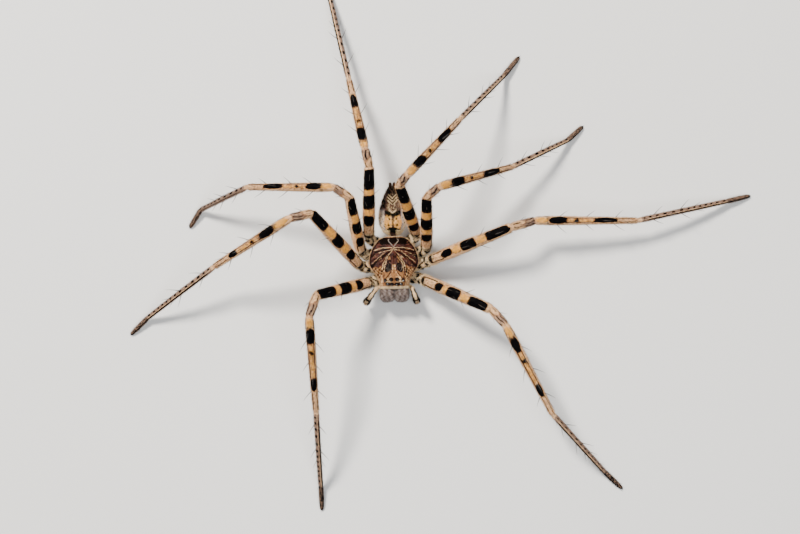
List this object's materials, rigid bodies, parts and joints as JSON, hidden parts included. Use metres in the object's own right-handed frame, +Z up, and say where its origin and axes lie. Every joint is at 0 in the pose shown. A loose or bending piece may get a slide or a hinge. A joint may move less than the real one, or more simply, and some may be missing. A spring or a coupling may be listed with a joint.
{
  "type": "huntsman spider",
  "caption": "Life-size still model of a male banded huntsman spider, standing flat with its long banded legs spread.",
  "frame": {"origin": "on the floor under the middle of the animal's box", "axes": "+Z up; the head points towards -Y and the animal's left side towards +X"},
  "size_m": [0.1144, 0.0976, 0.0187],
  "materials": {
    "prosoma": "satin brown cuticle with fine pale hairs",
    "abdomen": "matt, short velvety hair",
    "spinnerets": "matt, hairy",
    "chelicera": "matt grey, hairy",
    "fang": "polished dark horn",
    "palp": "matt, hairy",
    "eye": "polished black",
    "coxa": "matt, cream hair",
    "leg": "satin tan cuticle with black bands and spines",
    "foot": "matt, dark bristles"
  },
  "bodies": {
    "root": {"prosoma": "prosoma", "abdomen": "abdomen", "spinnerets": "spinnerets", "chelicera_left": "chelicera", "fang_left": "fang", "palp_arm_left": "palp", "palp_bulb_left": "palp", "eye_anterior_median_left": "eye", "eye_anterior_lateral_left": "eye", "eye_posterior_median_left": "eye", "eye_posterior_lateral_left": "eye", "coxa_left_1": "coxa", "femur_left_1": "leg", "patella_left_1": "leg", "tibia_left_1": "leg", "foot_left_1": "foot", "coxa_left_2": "coxa", "femur_left_2": "leg", "patella_left_2": "leg", "tibia_left_2": "leg", "foot_left_2": "foot", "coxa_left_3": "coxa", "femur_left_3": "leg", "patella_left_3": "leg", "tibia_left_3": "leg", "foot_left_3": "foot", "coxa_left_4": "coxa", "femur_left_4": "leg", "patella_left_4": "leg", "tibia_left_4": "leg", "foot_left_4": "foot", "chelicera_right": "chelicera", "fang_right": "fang", "palp_arm_right": "palp", "palp_bulb_right": "palp", "eye_anterior_median_right": "eye", "eye_anterior_lateral_right": "eye", "eye_posterior_median_right": "eye", "eye_posterior_lateral_right": "eye", "coxa_right_1": "coxa", "femur_right_1": "leg", "patella_right_1": "leg", "tibia_right_1": "leg", "foot_right_1": "foot", "coxa_right_2": "coxa", "femur_right_2": "leg", "patella_right_2": "leg", "tibia_right_2": "leg", "foot_right_2": "foot", "coxa_right_3": "coxa", "femur_right_3": "leg", "patella_right_3": "leg", "tibia_right_3": "leg", "foot_right_3": "foot", "coxa_right_4": "coxa", "femur_right_4": "leg", "patella_right_4": "leg", "tibia_right_4": "leg", "foot_right_4": "foot"}
  },
  "joints": []
}
